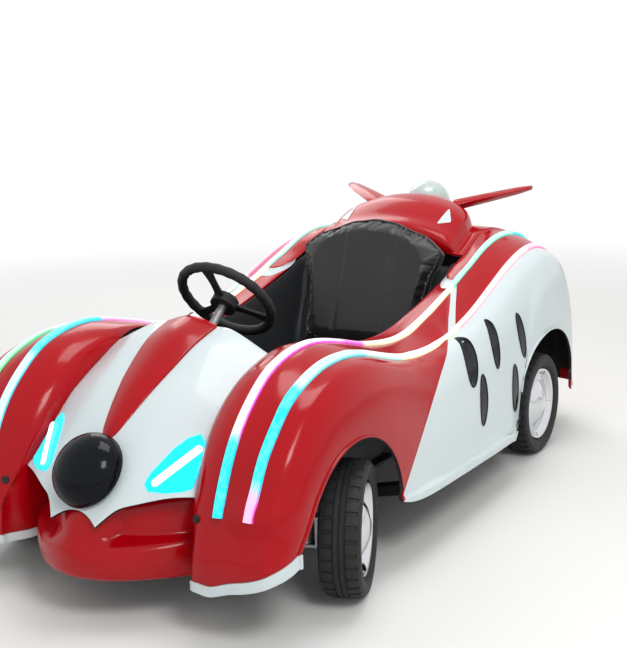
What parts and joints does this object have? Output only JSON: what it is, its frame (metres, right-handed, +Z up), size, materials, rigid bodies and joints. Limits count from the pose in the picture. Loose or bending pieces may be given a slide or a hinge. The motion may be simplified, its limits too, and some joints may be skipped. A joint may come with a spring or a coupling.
{
  "type": "fairground bumper car",
  "caption": "Battery fairground bumper car with a moulded two-colour body, swept fenders, light strips, road wheels and working steering.",
  "frame": {"origin": "on the floor under the middle of the car", "axes": "+X forward, +Y to the driver's left, +Z up"},
  "size_m": [2.036, 1.0882, 0.818],
  "materials": {
    "red_paint": "glossy red gelcoat on fibreglass",
    "white_paint": "glossy white gelcoat on fibreglass",
    "black_gloss": "glossy black plastic",
    "light_tube": "milky light tube",
    "lamp_lens": "lit lamp lens",
    "tail_lens": "red lamp lens",
    "tub_plastic": "dark textured moulding",
    "seat_vinyl": "black vinyl",
    "grip_rubber": "black grip",
    "steel": "bare and plated steel",
    "frame_paint": "black paint",
    "battery_case": "black case",
    "tyre": "rubber",
    "rim_chrome": "polished"
  },
  "bodies": {
    "root": {"bonnet_ridge": "red_paint", "front_valance": "red_paint", "fender_left": "red_paint", "fender_right": "red_paint", "shoulder_left": "red_paint", "shoulder_right": "red_paint", "rear_deck": "red_paint", "headrest_wings": "red_paint", "bonnet": "white_paint", "fender_trims": "white_paint", "quarter_left": "white_paint", "quarter_right": "white_paint", "belt_bands": "white_paint", "headrest_dome": "white_paint", "nose_cap": "black_gloss", "side_vents": "black_gloss", "dashboard": "black_gloss", "light_strips": "light_tube", "headlamps": "lamp_lens", "tail_lamps": "tail_lens", "cockpit_tub": "tub_plastic", "seat_cushion": "seat_vinyl", "seat_backrest": "seat_vinyl", "steering_box": "steel", "pedals": "steel", "front_axle": "steel", "rear_axle": "steel", "chassis_frame": "frame_paint", "outriggers": "frame_paint", "drive_motor": "frame_paint", "battery": "battery_case"},
    "knuckle_l": {"knuckle_left": "steel"},
    "knuckle_r": {"knuckle_right": "steel"},
    "track_rod": {"tie_rod": "steel"},
    "steering": {"steering_column": "steel", "steering_wheel": "grip_rubber"},
    "pitman": {"drop_shaft": "steel"},
    "wheel_fl": {"tyre_front_left": "tyre", "rim_front_left": "rim_chrome"},
    "wheel_fr": {"tyre_front_right": "tyre", "rim_front_right": "rim_chrome"},
    "wheel_rl": {"tyre_rear_left": "tyre", "rim_rear_left": "rim_chrome"},
    "wheel_rr": {"tyre_rear_right": "tyre", "rim_rear_right": "rim_chrome"}
  },
  "joints": [
    {"name": "steer_left", "type": "hinge", "parent": "root", "child": "knuckle_l", "pos_m": [0.624, 0.36, 0.156], "axis": [0, 0, 1], "range_deg": [-52, 10]},
    {"name": "steer_right", "type": "hinge", "parent": "root", "child": "knuckle_r", "pos_m": [0.624, -0.36, 0.156], "axis": [0, 0, 1], "range_deg": [-52.1, 10.1]},
    {"name": "pitman_turn", "type": "hinge", "parent": "root", "child": "pitman", "pos_m": [0.624, 0, 0.156], "axis": [0, 0, 1], "range_deg": [-52.1, 10.1]},
    {"name": "rod_swing", "type": "hinge", "parent": "knuckle_l", "child": "track_rod", "pos_m": [0.53943, 0.32922, 0.139], "axis": [0, 0, 1], "range_deg": [-10.1, 52.1]},
    {"name": "steering_turn", "type": "hinge", "parent": "root", "child": "steering", "pos_m": [0.624, 0, 0.418], "axis": [-0.766, 0, 0.6428], "range_deg": [-78.1, 15.1]},
    {"name": "spin_front_left", "type": "hinge", "parent": "knuckle_l", "child": "wheel_fl", "pos_m": [0.59082, 0.45115, 0.156], "axis": [-0.342, 0.9397, 0], "continuous": true},
    {"name": "spin_front_right", "type": "hinge", "parent": "knuckle_r", "child": "wheel_fr", "pos_m": [0.65718, -0.45115, 0.156], "axis": [-0.342, 0.9397, 0], "continuous": true},
    {"name": "spin_rear_left", "type": "hinge", "parent": "root", "child": "wheel_rl", "pos_m": [-0.576, 0.445, 0.156], "axis": [0, 1, 0], "continuous": true},
    {"name": "spin_rear_right", "type": "hinge", "parent": "root", "child": "wheel_rr", "pos_m": [-0.576, -0.445, 0.156], "axis": [0, 1, 0], "continuous": true}
  ],
  "couplings": [
    {"joint": "steer_right", "follows": "steer_left", "ratio": 1},
    {"joint": "pitman_turn", "follows": "steer_left", "ratio": 1},
    {"joint": "rod_swing", "follows": "steer_left", "ratio": -1},
    {"joint": "steering_turn", "follows": "steer_left", "ratio": 1.5}
  ]
}
